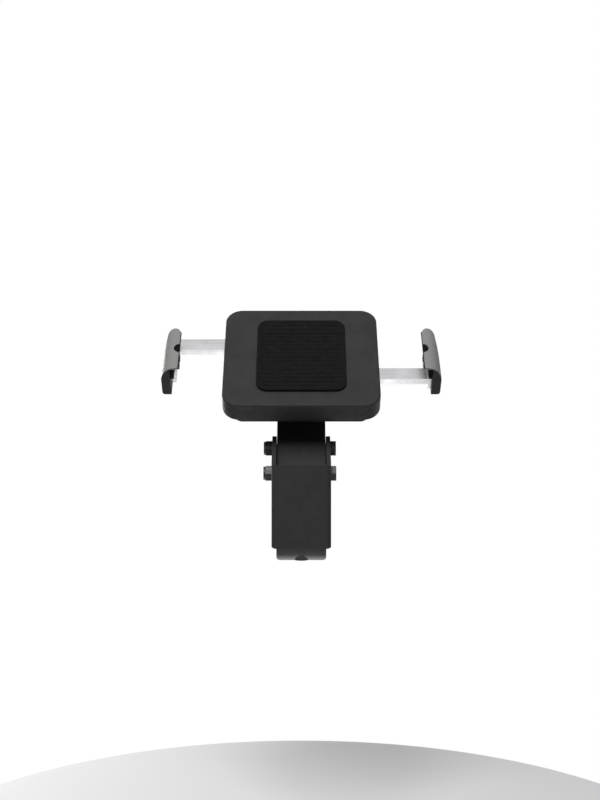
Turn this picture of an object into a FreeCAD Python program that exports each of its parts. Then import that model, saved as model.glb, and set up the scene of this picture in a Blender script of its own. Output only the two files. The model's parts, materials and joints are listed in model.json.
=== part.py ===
import FreeCAD, Part
import math
import os

from FreeCAD import Base

V = Base.Vector

# Frame: millimetres, +X along the rail, -Y towards the user, +Z up.
# The origin is the centre of the clamped rail, half way along the clamp.

# Rail clamp
rail_r = 11.1            # radius of the tube that the clamp holds
liner_t = 1.5            # rubber between the tube and each jaw
sheet_t = 3.0            # steel sheet of bracket, neck and plate
bracket_w = 40.4         # outer width of the bracket
bracket_bend_r = 4.0     # outside radius of its two long bends
front_y = -25.0          # front face of the bracket
bracket_low_z = -22.4    # lower end of its front face
bracket_high_z = 34.0    # upper end of its front face
flange_rise = 17.0       # degrees that the flange's lower edge climbs towards the back
hook_back_y = 21.0       # back edge of the hook
hook_tip_z = 2.5         # how low the hook reaches behind the rail
side_gap = 0.3           # air between the bracket and what sits inside it
rail_gap = 0.9           # air between the tube and the hook's steel edge
cradle_top_z = 18.0      # top of the upper jaw block
cradle_back_y = 18.4     # its back face
cradle_screw_r = 2.0
cradle_screw_y = (-16.5, 14.2)
cradle_screw_z = 13.2
cradle_screw_l = 9.0     # length in the block
jaw_low_z = -31.2        # underside of the lower jaw block
jaw_front_round = 7.5    # rounding of its lower front edge
jaw_corner_round = 3.0   # rounding of its two lower corners
jaw_seat_deg = 35.0      # half angle of its seat under the rail
jaw_travel = 12.0        # how far the lower jaw opens
screw_y = -15.7          # axis of the clamp screw, in front of the rail
screw_r = 3.0
screw_head_r = 5.0
screw_head_h = 6.0
screw_l = 50.0
screw_socket_af = 5.0    # hex socket, across flats
head_sunk = 0.2          # how far the head sits up inside the jaw block
insert_r = 4.4           # threaded insert in the upper jaw block
insert_low_z = 8.5
insert_l = 9.0

# Neck and tilt hinge
hinge_y = 34.0           # tilt axis
hinge_z = 81.0
neck_low_y = 0.0         # lower neck bolt
neck_low_z = 27.2
neck_pitch = 20.0        # distance between the two neck bolts
neck_depth = 16.0        # front to back
neck_end_gap = 20.0      # the neck's web stops this far below the tilt axis
ear_r = 9.5              # rounded upper ends of the neck
neck_bolt_r = 3.0
neck_bolt_af = 10.0      # across the flats of its head and nut
tilt_bolt_r = 4.0
tilt_bolt_af = 13.0
tilt_head_h = 5.0        # height of the tilt bolt's head
tilt_tail = 8.0          # how far it passes the neck on the other side
tilt_nut_h = 7.5
tilt_washer_t = 1.2
tilt_washer_r = 8.0
tongue_r = 8.5           # rounded end of the tilt head's tongue
hex_head_h = 4.0
lock_nut_h = 6.0

# Swivel
swivel_disc_r = 22.0
swivel_disc_t = 5.0
swivel_washer_t = 1.0
swivel_r = 5.0           # shoulder of the swivel bolt
swivel_thread_r = 4.0
swivel_thread_l = 11.0
swivel_head_r = 7.5
swivel_head_h = 4.2
swivel_socket_af = 6.0
swivel_socket_deep = 2.5
swivel_flat_t = 1.0      # steel washer under its head
swivel_flat_r = 9.5
tilt_reach = 16.0        # from the disc's back to the tilt axis

# Holder body: X across, Y up along the tablet, Z out of its back face
lean_deg = 44.0          # how far the holder leans back from upright
body_w = 108.0
body_h = 96.0
body_t = 15.0
body_corner_r = 12.0
front_cover_t = 6.0
wall = 2.5
pad_w = 62.0
pad_h = 70.0
pad_t = 2.0
pad_corner_r = 8.0
pad_edge_round = 0.6
groove_w = 1.8
groove_deep = 0.6
groove_in = 8.0          # from the pad's side to the end of a groove
edge_round = 1.5
plate_w = 92.0
plate_hole_pitch = 75.0
plate_screw_r = 2.0
plate_screw_l = 6.0
cover_screw_r = 1.5
cover_screw_in = 7.5     # from the body's sides to the cover screws
cover_screw_sink = 3.0
cover_screw_head_h = 2.0
cover_screw_l = 9.0
rib_t = 2.0
post_r = 4.0

# Arms and their drive
tablet_w = 174.1
tablet_t = 6.1
arm_t = 5.0
arm_face_gap = 0.4       # air between the arms and the front cover
arm_far_y = 20.0         # outer edge of each arm's bar
arm_in_x = -22.0         # inner end of the right arm
arm_end_top = 14.0       # upper end of the plate that carries each jaw
arm_run = 0.25           # air beside the bars
tooth_module = 1.0
pinion_teeth = 16
tooth_root = 0.33        # half a tooth's width at its root, as a share of the pitch
tooth_tip = 0.10         # and at its tip
rack_from_x = -20.0
rack_to_x = 36.0
axle_r = 3.0
axle_seat = 1.2
run_gap = 0.05           # radial clearance of every turning fit

# Arm lock
lock_x = 28.0
lock_y = -28.0
lock_r = 7.0
lock_plug_r = 5.0
lock_out = 3.0           # how far the barrel stands out of the rear cover
cam_r = 6.4
cam_lift = 1.4
cam_t = 4.0
cam_stem_r = 2.0
lock_collar_w = 1.2      # how much wider the barrel's collar is
lock_collar_gap = 1.5    # from the collar to the plate
keyway_w = 1.2
keyway_h = 6.4
keyway_deep = 5.0

# Jaws at the tablet's sides
jaw_back = 15.8          # depth of the jaw behind the tablet's back face
lip_over = 2.9           # how far the lip reaches over the tablet
lip_front = 3.4          # how far it stands in front of the glass
shell_t = 1.5
grip_t = 2.5             # rubber at the tablet's edge
grip_in = 1.0            # from the jaw's ends to the rubber's
grip_gap = 0.15          # air between rubber and tablet
notch_r = 4.2            # round notch in the lip
notch_out = -0.5         # its centre, outwards from the lip's edge
notch_y = -4.0
jaw_screw_r = 1.5
jaw_screw_l = 4.7
jaw_screw_y = (-3.5, 3.5)
jaw_screw_z = -8.0
arm_end_t = 2.5          # plate at each arm's outer end
jaw_top_y = 16.0         # upper end of the jaw
jaw_low_y = -24.0        # lower end of the jaw
jaw_side_top = 6.2       # outer face near the upper end, beyond the tablet's edge
jaw_side_mid = 8.3
jaw_side_low = 9.2
jaw_side_back = 9.5      # widest, near the jaw's back
lip_round = 4.4
jaw_low_round = 1.5      # rounding of its two lower corners, seen from the front
jaw_back_round = 2.5     # rounding of its outer back edge
end_cap_t = 3.0          # black end of the jaw, below the skin's side
end_skin_t = 0.9         # skin that stays in front of it
crown_lip = 0.6          # how much lower the crown is at the lip's edge
crown_ridge = 3.0        # its highest line, in from the lip's edge
crown_side = ((4.8, 1.9), (1.6, 6.6), (0.3, 13.0), (0.0, 20.0))  # in from the side, down from the top
jaw_screw_head_h = 2.0
jaw_screw_af = 2.0
lip_pad_t = 0.4          # how far the rubber shows beyond the lip's edge
lip_pad_gap = 0.3        # air between it and the glass


def box(x0, x1, y0, y1, z0, z1):
    return Part.makeBox(x1 - x0, y1 - y0, z1 - z0, V(x0, y0, z0))


def rod_x(r, x0, x1, y, z):
    return Part.makeCylinder(r, x1 - x0, V(x0, y, z), V(1, 0, 0))


def rod_z(r, z0, z1, x, y):
    return Part.makeCylinder(r, z1 - z0, V(x, y, z0), V(0, 0, 1))


def hex_z(flats, z0, z1, x, y):
    """A six-sided prism along Z."""
    r = flats / math.sqrt(3)
    corners = [V(x + r * math.cos(math.radians(60 * k)), y + r * math.sin(math.radians(60 * k)), z0)
               for k in range(7)]
    return Part.Face(Part.makePolygon(corners)).extrude(V(0, 0, z1 - z0))


def hex_x(flats, x0, x1, y, z):
    """A six-sided prism along X."""
    r = flats / math.sqrt(3)
    corners = [V(x0, y + r * math.cos(math.radians(60 * k)), z + r * math.sin(math.radians(60 * k)))
               for k in range(7)]
    return Part.Face(Part.makePolygon(corners)).extrude(V(x1 - x0, 0, 0))


def side_prism(points, x0, x1):
    """A closed outline in the YZ plane, carried along X."""
    corners = [V(x0, y, z) for y, z in points + points[:1]]
    return Part.Face(Part.makePolygon(corners)).extrude(V(x1 - x0, 0, 0))


def round_box(w, h, z0, z1, corner):
    """A plate centred on the Z axis with rounded corners."""
    block = box(-w / 2, w / 2, -h / 2, h / 2, z0, z1)
    upright = [e for e in block.Edges if abs(e.Vertexes[0].Z - e.Vertexes[1].Z) > 0.1]
    return block.makeFillet(corner, upright)


def edges_at(shape, test):
    """The edges whose two ends and middle all pass a test of place."""
    found = []
    for e in shape.Edges:
        spots = [v.Point for v in e.Vertexes] + [e.valueAt((e.FirstParameter + e.LastParameter) / 2)]
        if all(test(p) for p in spots):
            found.append(e)
    return found


def fuse(first, *others):
    return first.fuse(list(others)).removeSplitter()


# Sizes that follow from the ones above
half_w = bracket_w / 2
inner_w = half_w - sheet_t
seat_r = rail_r + liner_t
plate_back_y = front_y + sheet_t
block_half = inner_w - side_gap
neck_half = inner_w - side_gap
ear_in = neck_half - sheet_t
neck_turn = math.atan2(hinge_z - neck_low_z, hinge_y - neck_low_y)
along = (math.cos(neck_turn), math.sin(neck_turn))
neck_high_y = neck_low_y + neck_pitch * along[0]
neck_high_z = neck_low_z + neck_pitch * along[1]
cover_front = -pad_t
body_back = cover_front - body_t
plate_back = body_back - sheet_t
disc_front = plate_back - swivel_washer_t
disc_back = disc_front - swivel_disc_t
hinge_depth = disc_back - tilt_reach
lean = math.radians(lean_deg)
out_of_face = (-math.cos(lean), math.sin(lean))
face_y = hinge_y - hinge_depth * out_of_face[0]
face_z = hinge_z - hinge_depth * out_of_face[1]
cover_seam = cover_front - front_cover_t
arm_top = cover_front - wall - arm_face_gap
arm_low = arm_top - arm_t
lock_top = arm_low - 0.2
pitch_r = tooth_module * pinion_teeth / 2
tablet_x = tablet_w / 2
jaw_out_top = tablet_x + jaw_side_top
jaw_out_mid = tablet_x + jaw_side_mid
jaw_out_low = tablet_x + jaw_side_low
jaw_out_back = tablet_x + jaw_side_back
cover_screw_x = body_w / 2 - cover_screw_in
cover_screw_y = body_h / 2 - cover_screw_in
core_x = tablet_x + grip_gap + grip_t
lip_x = tablet_x - lip_over
lip_top = tablet_t + lip_front
lip_under = lip_top - shell_t


def lean_back(shape):
    """Holder coordinates to the frame: turned about X, then set on the tilt hinge."""
    placed = shape.copy()
    lay = Base.Placement(V(0, face_y, face_z), Base.Rotation(V(1, 0, 0), 90 - lean_deg))
    placed.Placement = lay.multiply(shape.Placement)
    return placed


def screw_holes(r):
    """The four cross screws of the upper jaw block, as rods from each side."""
    rods = []
    for y in cradle_screw_y:
        for side in (-1, 1):
            x0, x1 = sorted((side * half_w, side * (block_half - cradle_screw_l)))
            rods.append(rod_x(r, x0, x1, y, cradle_screw_z))
    return rods


def neck_holes(r):
    """The two bolts that join bracket and neck, across the full width."""
    return [rod_x(r, -half_w - 1, half_w + 1, y, z)
            for y, z in ((neck_low_y, neck_low_z), (neck_high_y, neck_high_z))]


def rail_bracket():
    """Folded steel: a front plate and two flanges that hook over the rail."""
    channel = box(-half_w, half_w, front_y, hook_back_y, bracket_low_z, neck_high_z + ear_r)
    outer = edges_at(channel, lambda p: p.y < front_y + 0.1 and abs(p.x) > half_w - 0.1)
    channel = channel.makeFillet(bracket_bend_r, outer)
    hollow = box(-inner_w, inner_w, plate_back_y, hook_back_y + 1, bracket_low_z - 1, neck_high_z + ear_r + 1)
    inner = edges_at(hollow, lambda p: p.y < plate_back_y + 0.1 and abs(p.x) > inner_w - 0.1)
    channel = channel.cut(hollow.makeFillet(bracket_bend_r - sheet_t, inner))
    guide_y = -rail_r - rail_gap
    guide_z = bracket_low_z + (guide_y - front_y) * math.tan(math.radians(flange_rise))
    outline = [(front_y, bracket_low_z), (guide_y, guide_z), (guide_y, 0), (hook_back_y, 0),
               (hook_back_y, cradle_top_z), (neck_high_y + ear_r, neck_high_z),
               (neck_high_y, neck_high_z + ear_r), (neck_high_y - ear_r, neck_high_z + ear_r / 2),
               (plate_back_y, bracket_high_z), (front_y, bracket_high_z)]
    side = side_prism(outline, -half_w, half_w)
    side = side.cut(box(-half_w, half_w, 0, hook_back_y + 1, -1, hook_tip_z))
    side = side.cut(rod_x(rail_r + rail_gap, -half_w, half_w, 0, 0))
    bracket = channel.common(side)
    crown = edges_at(bracket, lambda p: abs(p.z - neck_high_z - ear_r) < 0.1 and abs(p.y - neck_high_y) < 0.1
                     and abs(p.x) > inner_w - 0.1)
    bracket = bracket.makeFillet(ear_r / 2, crown)
    return bracket.cut(screw_holes(cradle_screw_r + 0.1) + neck_holes(neck_bolt_r + 0.1)).removeSplitter()


def cradle():
    """The upper jaw block between the flanges, with the seat over the rail."""
    block = box(-block_half, block_half, plate_back_y + side_gap, cradle_back_y, 0, cradle_top_z)
    block = block.cut(box(-half_w, half_w, 0, hook_back_y, -1, hook_tip_z))
    block = block.cut(rod_x(seat_r, -half_w, half_w, 0, 0))
    block = block.makeFillet(2.0, edges_at(block, lambda p: p.z > cradle_top_z - 0.1 and abs(p.x) < block_half
                                           or p.z > cradle_top_z - 0.1 and p.y > cradle_back_y - 0.1))
    shank = rod_z(screw_r + 0.4, -1, cradle_top_z + 1, 0, screw_y)
    pocket = rod_z(insert_r, insert_low_z, insert_low_z + insert_l, 0, screw_y)
    return block.cut([shank, pocket] + screw_holes(cradle_screw_r))


def cradle_liner():
    """Rubber bonded into the upper seat, from the front over the top to the hook's tip."""
    ring = rod_x(seat_r, -block_half, block_half, 0, 0).cut(rod_x(rail_r, -half_w, half_w, 0, 0))
    ring = ring.cut(box(-half_w, half_w, -seat_r - 1, seat_r + 1, -seat_r - 1, 0))
    return ring.cut(box(-half_w, half_w, 0, seat_r + 1, -1, hook_tip_z))


def cradle_screws():
    """Four countersunk screws, flush in the flanges, two on each side."""
    parts = []
    for y in cradle_screw_y:
        for side in (-1, 1):
            x0, x1 = sorted((side * (half_w - 0.2), side * (block_half - cradle_screw_l + 0.5)))
            shank = rod_x(cradle_screw_r, x0, x1, y, cradle_screw_z)
            socket = hex_x(2.0, *sorted((side * half_w, side * (half_w - 1.6))), y, cradle_screw_z)
            parts.append(shank.cut(socket))
    return Part.makeCompound(parts)


def screw_insert():
    """Threaded bush pressed into the upper jaw block."""
    body = rod_z(insert_r, insert_low_z, insert_low_z + insert_l, 0, screw_y)
    return body.cut(rod_z(screw_r + run_gap, insert_low_z - 1, cradle_top_z + 1, 0, screw_y))


def jaw_seat(r, half_angle, x):
    """A bar of wedge section below the rail, out to radius r."""
    reach = 2 * r
    tip = reach * math.tan(math.radians(half_angle))
    wedge = side_prism([(0, 0), (tip, -reach), (-tip, -reach)], -x, x)
    return rod_x(r, -x, x, 0, 0).common(wedge)


def lower_jaw():
    """The cast jaw block that the clamp screw draws up under the rail."""
    front = plate_back_y + side_gap
    back = seat_r * math.sin(math.radians(jaw_seat_deg)) + 2.0
    rim_z = -seat_r * math.cos(math.radians(jaw_seat_deg))
    block = box(-block_half, block_half, front, back, jaw_low_z, rim_z)
    ends = edges_at(block, lambda p: p.z < jaw_low_z + 0.1 and abs(p.x) > block_half - 0.1)
    block = block.makeFillet(jaw_corner_round, ends)
    round_y = front + jaw_front_round
    round_z = jaw_low_z + jaw_front_round
    nose = box(-half_w, half_w, front - 1, round_y, jaw_low_z - 1, round_z)
    nose = nose.cut(rod_x(jaw_front_round, -half_w, half_w, round_y, round_z))
    block = block.cut(nose)
    block = block.cut(rod_x(seat_r, -half_w, half_w, 0, 0))
    relief = rod_z(screw_r + run_gap, jaw_low_z - 1, 0, 0, screw_y)
    sink = rod_z(screw_head_r + 0.2, jaw_low_z - 1, jaw_low_z + screw_head_h + head_sunk, 0, screw_y)
    return block.cut([relief, sink]).removeSplitter()


def lower_jaw_pad():
    """Rubber bonded into the lower seat."""
    arc = jaw_seat(seat_r, jaw_seat_deg, block_half - 2.0)
    return arc.cut(rod_x(rail_r, -half_w, half_w, 0, 0))


def clamp_screw():
    """Socket cap screw, its head sunk in the underside of the lower jaw."""
    low = jaw_low_z + head_sunk
    head = rod_z(screw_head_r, low, low + screw_head_h, 0, screw_y)
    head = head.cut(hex_z(screw_socket_af, low - 1, low + screw_head_h / 2, 0, screw_y))
    shank = rod_z(screw_r, low + screw_head_h, low + screw_head_h + screw_l, 0, screw_y)
    return fuse(head, shank)


def channel_point(t, across):
    """A point at distance t up the neck from the lower bolt, and across it towards the front."""
    return (neck_low_y + t * along[0] - across * along[1], neck_low_z + t * along[1] + across * along[0])


def neck():
    """Folded steel channel from the bracket up to the tilt axis."""
    reach = math.hypot(hinge_y - neck_low_y, hinge_z - neck_low_z)
    half = neck_depth / 2
    flank = [channel_point(t, a) for t, a in ((0, half), (reach, half), (reach, -half), (0, -half))]
    side = fuse(side_prism(flank, -neck_half, neck_half),
                rod_x(half, -neck_half, neck_half, neck_low_y, neck_low_z),
                rod_x(ear_r, -neck_half, neck_half, hinge_y, hinge_z))
    floor = half - sheet_t
    inside = [channel_point(t, a) for t, a in ((-2 * half, floor), (reach - neck_end_gap, floor),
                                               (reach - neck_end_gap, 2 * half), (reach + 2 * half, 2 * half),
                                               (reach + 2 * half, -2 * half), (-2 * half, -2 * half))]
    body = side.cut(side_prism(inside, -ear_in, ear_in))
    body = body.cut(side_prism([channel_point(t, a) for t, a in ((-2 * half, 0), (0, 0), (0, 2 * half),
                                                                 (-2 * half, 2 * half))], -ear_in, ear_in))
    return body.cut(neck_holes(neck_bolt_r + 0.1) + [rod_x(tilt_bolt_r + run_gap, -half_w, half_w,
                                                           hinge_y, hinge_z)]).removeSplitter()


def cross_bolt(r, flats, x_seat, y, z, head_h, tail):
    """Hex-head bolt across the mount: head on the right, tail past the left seat."""
    head = hex_x(flats, x_seat, x_seat + head_h, y, z)
    return fuse(head, rod_x(r, -x_seat - tail, x_seat, y, z))


def cross_nut(r, flats, x_seat, y, z, nut_h):
    """Locking nut on the left: a hex with a round collar."""
    body = hex_x(flats, -x_seat - 0.75 * nut_h, -x_seat, y, z)
    collar = rod_x(flats / 2 - 0.4, -x_seat - nut_h, -x_seat - 0.75 * nut_h, y, z)
    return fuse(body, collar).cut(rod_x(r + run_gap, -x_seat - 2 * nut_h, -x_seat + 1, y, z))


def neck_bolts():
    return Part.makeCompound([cross_bolt(neck_bolt_r, neck_bolt_af, half_w, y, z, hex_head_h, lock_nut_h)
                              for y, z in ((neck_low_y, neck_low_z), (neck_high_y, neck_high_z))])


def neck_nuts():
    return Part.makeCompound([cross_nut(neck_bolt_r, neck_bolt_af, half_w, y, z, lock_nut_h)
                              for y, z in ((neck_low_y, neck_low_z), (neck_high_y, neck_high_z))])


def tilt_bolt():
    return cross_bolt(tilt_bolt_r, tilt_bolt_af, neck_half, hinge_y, hinge_z, tilt_head_h, tilt_tail)


def tilt_nut():
    return cross_nut(tilt_bolt_r, tilt_bolt_af, neck_half, hinge_y, hinge_z, tilt_nut_h)


def tilt_washers():
    """Two friction washers between the neck's ears and the tongue."""
    rings = []
    for side in (-1, 1):
        x0, x1 = sorted((side * (ear_in - run_gap), side * (ear_in - run_gap - tilt_washer_t)))
        ring = rod_x(tilt_washer_r, x0, x1, hinge_y, hinge_z)
        rings.append(ring.cut(rod_x(tilt_bolt_r + run_gap, -half_w, half_w, hinge_y, hinge_z)))
    return Part.makeCompound(rings)


def tilt_head():
    """Cast head: a round swivel face with a tongue that turns on the tilt bolt."""
    half = ear_in - 2 * run_gap - tilt_washer_t
    disc = rod_z(swivel_disc_r, disc_back, disc_front, 0, 0)
    disc = disc.makeFillet(edge_round, edges_at(disc, lambda p: p.z < disc_back + 0.1))
    tongue = fuse(box(-half, half, -tongue_r, tongue_r, hinge_depth, disc_back + 1),
                  rod_x(tongue_r, -half, half, 0, hinge_depth))
    return fuse(disc, tongue).cut([rod_x(tilt_bolt_r + run_gap, -half_w, half_w, 0, hinge_depth),
                                   rod_z(swivel_thread_r, disc_front - swivel_thread_l, disc_front + 1, 0, 0)])


def swivel_washer():
    ring = rod_z(swivel_disc_r - 2, disc_front, plate_back, 0, 0)
    return ring.cut(rod_z(swivel_r + run_gap, disc_front - 1, plate_back + 1, 0, 0))


def swivel_bolt():
    """Shoulder bolt that holds the plate on the tilt head and lets it turn."""
    head_low = body_back + swivel_flat_t
    head = rod_z(swivel_head_r, head_low, head_low + swivel_head_h, 0, 0)
    head_top = head_low + swivel_head_h
    head = head.cut(hex_z(swivel_socket_af, head_top - swivel_socket_deep, head_top + 1, 0, 0))
    shoulder = rod_z(swivel_r, disc_front, head_low, 0, 0)
    thread = rod_z(swivel_thread_r, disc_front - swivel_thread_l, disc_front, 0, 0)
    return fuse(head, shoulder, thread)


def swivel_flat():
    ring = rod_z(swivel_flat_r, body_back, body_back + swivel_flat_t, 0, 0)
    return ring.cut(rod_z(swivel_r + run_gap, body_back - 1, 0, 0, 0))


def plate_spots():
    half = plate_hole_pitch / 2
    return [(sx * half, sy * half) for sx in (-1, 1) for sy in (-1, 1)]


def cover_spots():
    return [(sx * cover_screw_x, sy * cover_screw_y) for sx in (-1, 1) for sy in (-1, 1)]


def lock_hole():
    return rod_z(lock_r, plate_back - 10, lock_top, lock_x, lock_y)


def mounting_plate():
    """Square steel plate between the swivel and the holder body."""
    plate = round_box(plate_w, plate_w, plate_back, body_back, 6.0)
    holes = [rod_z(plate_screw_r + 0.2, plate_back - 1, 0, x, y) for x, y in plate_spots()]
    lock_room = rod_z(lock_r + 1.5, plate_back - 1, 0, lock_x, lock_y)
    return plate.cut(holes + [rod_z(swivel_r + run_gap, plate_back - 1, 0, 0, 0), lock_room])


def headed_screw(r, head_r, head_h, z_seat, length, x, y):
    """Round-head screw driven towards +Z, with a cross slot of two bars."""
    head = rod_z(head_r, z_seat - head_h, z_seat, x, y)
    head = head.makeFillet(head_h / 2, edges_at(head, lambda p: p.z < z_seat - head_h + 0.1))
    bars = [box(x - a, x + a, y - b, y + b, z_seat - head_h - 1, z_seat - head_h / 2)
            for a, b in ((0.3 * head_r, 0.1 * head_r), (0.1 * head_r, 0.3 * head_r))]
    return fuse(head, rod_z(r, z_seat, z_seat + length, x, y)).cut(bars)


def plate_screws():
    return Part.makeCompound([headed_screw(plate_screw_r, 2 * plate_screw_r, 2.2, plate_back,
                                           plate_screw_l + sheet_t, x, y) for x, y in plate_spots()])


def arm_slots():
    """Room for the two bars, through the left and the right wall."""
    tip = pitch_r - tooth_module - arm_run
    outer = body_w / 2 + 1
    right = box(0, outer, -arm_far_y - arm_run, -tip, arm_low - arm_run, arm_top + arm_run)
    left = box(-outer, 0, tip, arm_far_y + arm_run, arm_low - arm_run, arm_top + arm_run)
    return [right, left]


def body_shell(z0, z1, outer_z):
    """A rounded tray, open on the side away from outer_z."""
    shell = round_box(body_w, body_h, z0, z1, body_corner_r)
    rim = edges_at(shell, lambda p: abs(p.z - outer_z) < 0.1)
    shell = shell.makeFillet(edge_round, rim)
    floor = wall if outer_z == z0 else 0
    roof = wall if outer_z == z1 else 0
    room = round_box(body_w - 2 * wall, body_h - 2 * wall, z0 + floor if floor else z0 - 1,
                     z1 - roof if roof else z1 + 1, body_corner_r - wall)
    return shell.cut(room)


def rear_cover():
    """Back half of the holder body: bosses, guide ribs and the swivel pocket."""
    shell = body_shell(body_back, cover_seam, body_back)
    floor_z = body_back + wall
    rest_z = arm_low - arm_run
    inner_x = body_w / 2 - wall
    hub = rod_z(swivel_flat_r + 3.0, floor_z, rest_z, 0, 0)
    ribs = [box(-inner_x, inner_x, y - rib_t / 2, y + rib_t / 2, floor_z, rest_z)
            for y in (-arm_far_y + 1.5, -pitch_r - 3.0, pitch_r + 3.0, arm_far_y - 1.5)]
    fence = arm_far_y + arm_run
    guides = [box(-inner_x, inner_x, fence, fence + rib_t, floor_z, cover_seam),
              box(-inner_x, lock_x - lock_r - 3.0, -fence - rib_t, -fence, floor_z, cover_seam),
              box(lock_x + lock_r + 3.0, inner_x, -fence - rib_t, -fence, floor_z, cover_seam)]
    posts = [rod_z(post_r, floor_z, cover_seam, x, y) for x, y in cover_spots()]
    bosses = [rod_z(2 * plate_screw_r, floor_z, cover_seam, x, y) for x, y in plate_spots()]
    cover = fuse(shell, hub, *(ribs + guides + posts + bosses))
    pocket = rod_z(swivel_flat_r + 0.8, body_back - 1, body_back + swivel_flat_t + swivel_head_h + 0.4, 0, 0)
    seat = rod_z(axle_r, rest_z - axle_seat, rest_z + 1, 0, 0)
    cuts = [pocket, lock_hole()] + arm_slots()
    cuts += [rod_z(cover_screw_r + 0.2, body_back - 1, 0, x, y) for x, y in cover_spots()]
    sink_r = 2 * cover_screw_r + 0.3
    cuts += [rod_z(sink_r, body_back - 1, body_back + cover_screw_sink, x, y) for x, y in cover_spots()]
    deep = body_back + plate_screw_l + 0.5
    cuts += [rod_z(plate_screw_r, body_back - 1, deep, x, y) for x, y in plate_spots()]
    return cover.cut(cuts).cut(seat).removeSplitter()


def front_cover():
    """Front half of the holder body, under the tablet."""
    shell = body_shell(cover_seam, cover_front, cover_front)
    roof_z = cover_front - wall
    posts = [rod_z(post_r, cover_seam, roof_z, x, y) for x, y in cover_spots()]
    boss = rod_z(axle_r + 2.0, roof_z - arm_face_gap, roof_z, 0, 0)
    cover = fuse(shell, boss, *posts)
    cuts = arm_slots() + [rod_z(axle_r, roof_z - 1, roof_z + axle_seat, 0, 0)]
    cuts += [rod_z(cover_screw_r, cover_seam - 1, roof_z, x, y) for x, y in cover_spots()]
    return cover.cut(cuts).removeSplitter()


def cover_screws():
    return Part.makeCompound([headed_screw(cover_screw_r, 2 * cover_screw_r, cover_screw_head_h,
                                           body_back + cover_screw_sink, cover_screw_l, x, y)
                              for x, y in cover_spots()])


def back_pad():
    """Rubber pad that the tablet's back rests on, with three shallow grooves."""
    pad = round_box(pad_w, pad_h, cover_front, 0, pad_corner_r)
    pad = pad.makeFillet(pad_edge_round, edges_at(pad, lambda p: p.z > -0.1))
    half = pad_w / 2 - groove_in
    grooves = [box(-half, half, y - groove_w / 2, y + groove_w / 2, -groove_deep, 1)
               for y in (-pad_h / 4, 0, pad_h / 4)]
    return pad.cut(grooves)


def pinion():
    """Spur gear between the two racks, with straight-sided teeth."""
    root_r = pitch_r - 1.25 * tooth_module
    tip_r = pitch_r + tooth_module - 0.05
    step = 2 * math.pi / pinion_teeth
    corners = []
    for k in range(pinion_teeth):
        middle = k * step
        for r, share in ((root_r, -tooth_root), (tip_r, -tooth_tip), (tip_r, tooth_tip), (root_r, tooth_root)):
            corners.append(V(r * math.cos(middle + share * step), r * math.sin(middle + share * step), arm_low))
    gear = Part.Face(Part.makePolygon(corners + corners[:1])).extrude(V(0, 0, arm_t - 0.1))
    return gear.cut(rod_z(axle_r + run_gap, arm_low - 1, arm_top + 1, 0, 0))


def pinion_axle():
    return rod_z(axle_r, arm_low - arm_run - axle_seat, cover_front - wall + axle_seat, 0, 0)


def rack_bar(out_x):
    """The right arm's bar: teeth face the pinion on its upper edge."""
    root_y = -pitch_r - 1.25 * tooth_module
    bar = box(arm_in_x, out_x, -arm_far_y, root_y, arm_low, arm_top)
    pitch = math.pi * tooth_module
    first = math.ceil(rack_from_x / pitch)
    last = math.floor(rack_to_x / pitch)
    tip_y = -pitch_r + tooth_module - 0.05
    teeth = []
    for k in range(first, last + 1):
        # A gap of the rack faces the tooth that points straight down
        x = (k + 0.5) * pitch
        corners = [(x - tooth_root * pitch, root_y - 0.1), (x - tooth_tip * pitch, tip_y),
                   (x + tooth_tip * pitch, tip_y), (x + tooth_root * pitch, root_y - 0.1)]
        face = Part.Face(Part.makePolygon([V(a, b, arm_low) for a, b in corners + corners[:1]]))
        teeth.append(face.extrude(V(0, 0, arm_t)))
    return fuse(bar, *teeth)


def arm_end(x0, x1):
    """Upright plate at the arm's outer end."""
    plate = box(x0, x1, -arm_far_y, arm_end_top, -jaw_back, cover_front - 0.5)
    return plate.makeFillet(3.0, [e for e in plate.Edges if abs(e.Vertexes[0].X - e.Vertexes[1].X) > 0.1])


def right_arm():
    """Bar with an upright end plate that carries the jaw."""
    arm = rack_bar(core_x - arm_end_t)
    return fuse(arm, arm_end(core_x - arm_end_t, core_x)).cut(jaw_screw_rods(jaw_screw_r + 0.15))


def jaw_screw_rods(r):
    """Shanks of the two screws that hold the jaw on its arm, along X."""
    return [rod_x(r, core_x - arm_end_t, core_x + jaw_screw_l - arm_end_t, y, jaw_screw_z) for y in jaw_screw_y]


def turned(shape):
    """The left twin of a piece: half a turn about the holder's own axis."""
    twin = shape.copy()
    twin.rotate(V(0, 0, 0), V(0, 0, 1), 180)
    return twin


def mirrored(shape):
    return shape.mirror(V(0, 0, 0), V(1, 0, 0))


def cam_disc(r, z0, z1):
    return rod_z(r, z0, z1, lock_x, lock_y)


def lock_barrel():
    """Lock housing set in the rear cover."""
    low = plate_back - lock_out
    high = lock_top
    body = cam_disc(lock_r - 0.05, low, high)
    collar = cam_disc(lock_r + lock_collar_w, low, plate_back - lock_collar_gap)
    return fuse(body, collar).cut(cam_disc(lock_plug_r + run_gap, low - 1, high + 1))


def lock_plug():
    """The part that the key turns, with a keyway."""
    low = plate_back - lock_out
    plug = cam_disc(lock_plug_r, low, arm_low)
    stem = cam_disc(cam_stem_r, arm_low, arm_low + cam_t + 0.6)
    keyway = box(lock_x - keyway_w / 2, lock_x + keyway_w / 2, lock_y - keyway_h / 2, lock_y + keyway_h / 2,
                 low - 1, low + keyway_deep)
    return fuse(plug, stem).cut(keyway)


def lock_cam():
    """Eccentric on the plug: its high side presses on the right arm's bar."""
    disc = rod_z(cam_r, arm_low, arm_low + cam_t, lock_x, lock_y + cam_lift)
    return disc.cut(cam_disc(cam_stem_r, arm_low - 1, arm_low + cam_t + 1))


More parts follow.
